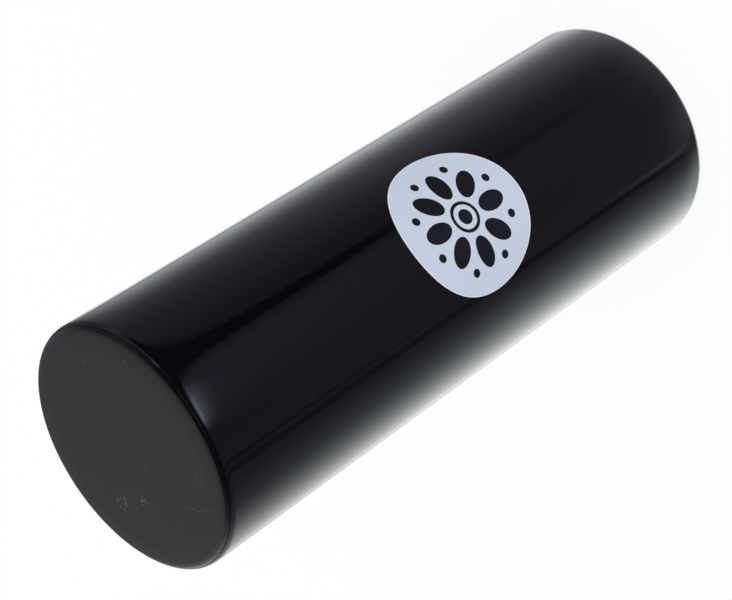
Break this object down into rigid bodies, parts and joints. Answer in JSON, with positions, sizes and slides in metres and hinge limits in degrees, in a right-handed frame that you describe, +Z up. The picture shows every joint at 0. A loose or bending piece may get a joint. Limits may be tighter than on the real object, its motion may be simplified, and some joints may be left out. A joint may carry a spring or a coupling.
{
  "type": "ganza shaker",
  "caption": "Hand-held cylinder shaker: a gloss black tube closed by flush satin caps, with a pale round label and loose steel shot sealed inside. It stands on either flat end.",
  "frame": {"origin": "centre of the base cap's flat outer face, on the surface that the shaker stands on", "axes": "+Z up along the tube's axis from the base cap to the top cap; the middle of the label faces -Y; +X completes the right-handed frame"},
  "size_m": [0.0635, 0.0637, 0.18],
  "materials": {
    "tube_gloss": "high-gloss black, mirror smooth, with a little dust",
    "cap_satin": "fine satin moulded charcoal, lightly scratched",
    "label_vinyl": "smooth pale vinyl with a black print",
    "shot_steel": "polished steel balls, dulled by wear"
  },
  "bodies": {
    "shell": {"tube": "tube_gloss", "cap_base": "cap_satin", "cap_top": "cap_satin", "label": "label_vinyl"},
    "core": {"shot_core": "shot_steel"},
    "inner_ring": {"shot_ring_inner": "shot_steel"},
    "middle_ring": {"shot_ring_middle": "shot_steel"},
    "outer_ring": {"shot_ring_outer": "shot_steel"}
  },
  "joints": [
    {"name": "shot_travel", "type": "slide", "parent": "shell", "child": "core", "axis": [0, 0, 1], "range_m": [0, 0.1706]},
    {"name": "swirl_inner", "type": "hinge", "parent": "core", "child": "inner_ring", "pos_m": [0, 0, 0], "axis": [0, 0, 1], "continuous": true},
    {"name": "swirl_middle", "type": "hinge", "parent": "core", "child": "middle_ring", "pos_m": [0, 0, 0], "axis": [0, 0, 1], "continuous": true},
    {"name": "swirl_outer", "type": "hinge", "parent": "core", "child": "outer_ring", "pos_m": [0, 0, 0], "axis": [0, 0, 1], "continuous": true}
  ]
}
